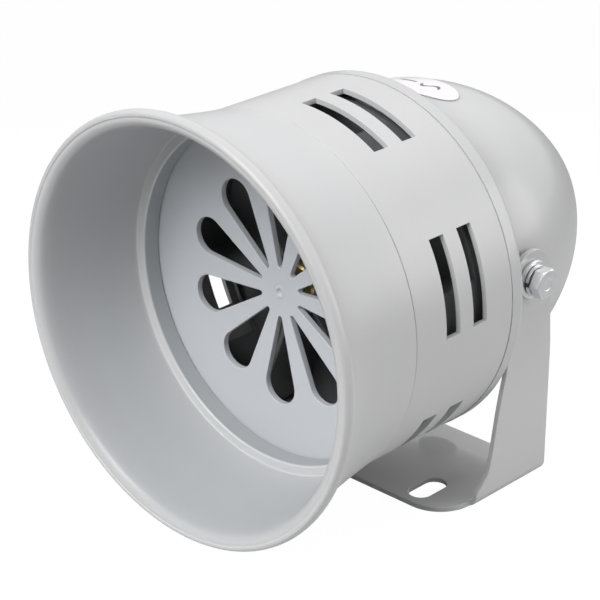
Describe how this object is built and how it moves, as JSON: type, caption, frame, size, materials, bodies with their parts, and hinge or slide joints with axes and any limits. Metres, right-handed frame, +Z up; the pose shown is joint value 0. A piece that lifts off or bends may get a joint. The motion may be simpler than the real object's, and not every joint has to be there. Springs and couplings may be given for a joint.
{
  "type": "alarm siren",
  "caption": "Grey motor-driven alarm siren: flared horn, petal grille, slotted drum and domed motor cover, tilting on bolts in a U-shaped mounting bracket.",
  "frame": {"origin": "on the underside of the bracket's base, straight below the two pivot bolts", "axes": "-Y is the way the horn's mouth faces, +Z is up, +X completes the right-handed frame"},
  "size_m": [0.16, 0.1941, 0.1608],
  "materials": {
    "horn_plastic": "satin light grey ABS",
    "grille_plastic": "satin cool grey ABS",
    "grey_paint": "gloss grey paint on sheet steel",
    "black_plastic": "charcoal moulded plastic",
    "zinc_steel": "bright zinc plate",
    "bare_steel": "bare steel",
    "brass": "machined brass",
    "lamination": "stacked silicon steel laminations",
    "copper_winding": "enamelled copper wire",
    "carbon": "pressed carbon",
    "rubber": "black rubber",
    "label": "white vinyl label"
  },
  "bodies": {
    "bracket": {"mounting_bracket": "grey_paint"},
    "siren_head": {"horn_flare": "horn_plastic", "sound_grille": "grille_plastic", "drum_housing": "horn_plastic", "rear_cover": "grey_paint", "rating_label": "label", "cable_grommet": "rubber", "motor_plate": "bare_steel", "stator_core": "lamination", "field_coil_upper": "copper_winding", "field_coil_lower": "copper_winding", "rear_bridge": "bare_steel", "front_bearing": "bare_steel", "rear_bearing": "bare_steel", "tie_bolt_1": "zinc_steel", "tie_bolt_2": "zinc_steel", "tie_bolt_3": "zinc_steel", "tie_bolt_4": "zinc_steel", "tie_spacer_1": "zinc_steel", "tie_spacer_2": "zinc_steel", "tie_spacer_3": "zinc_steel", "tie_spacer_4": "zinc_steel", "cover_screw_1": "zinc_steel", "cover_screw_2": "zinc_steel", "cover_screw_3": "zinc_steel", "brush_holder_right": "brass", "brush_holder_left": "brass", "carbon_brush_right": "carbon", "carbon_brush_left": "carbon", "brush_spring_right": "bare_steel", "brush_spring_left": "bare_steel", "pivot_bolt_right": "zinc_steel", "pivot_bolt_left": "zinc_steel", "lock_washer_right": "zinc_steel", "lock_washer_left": "zinc_steel", "flat_washer_right": "zinc_steel", "flat_washer_left": "zinc_steel", "pivot_nut_right": "zinc_steel", "pivot_nut_left": "zinc_steel"},
    "rotor": {"impeller": "black_plastic", "impeller_hub": "brass", "hub_screw": "bare_steel", "motor_shaft": "bare_steel", "cooling_fan": "black_plastic", "armature_core": "lamination", "winding_front": "copper_winding", "winding_rear": "copper_winding", "commutator": "brass"}
  },
  "joints": [
    {"name": "head_tilt", "type": "hinge", "parent": "bracket", "child": "siren_head", "pos_m": [0, 0, 0.0843], "axis": [-1, 0, 0], "range_deg": [0, 90]},
    {"name": "rotor_spin", "type": "hinge", "parent": "siren_head", "child": "rotor", "pos_m": [0, 0, 0.0808], "axis": [0, 1, 0], "continuous": true}
  ]
}
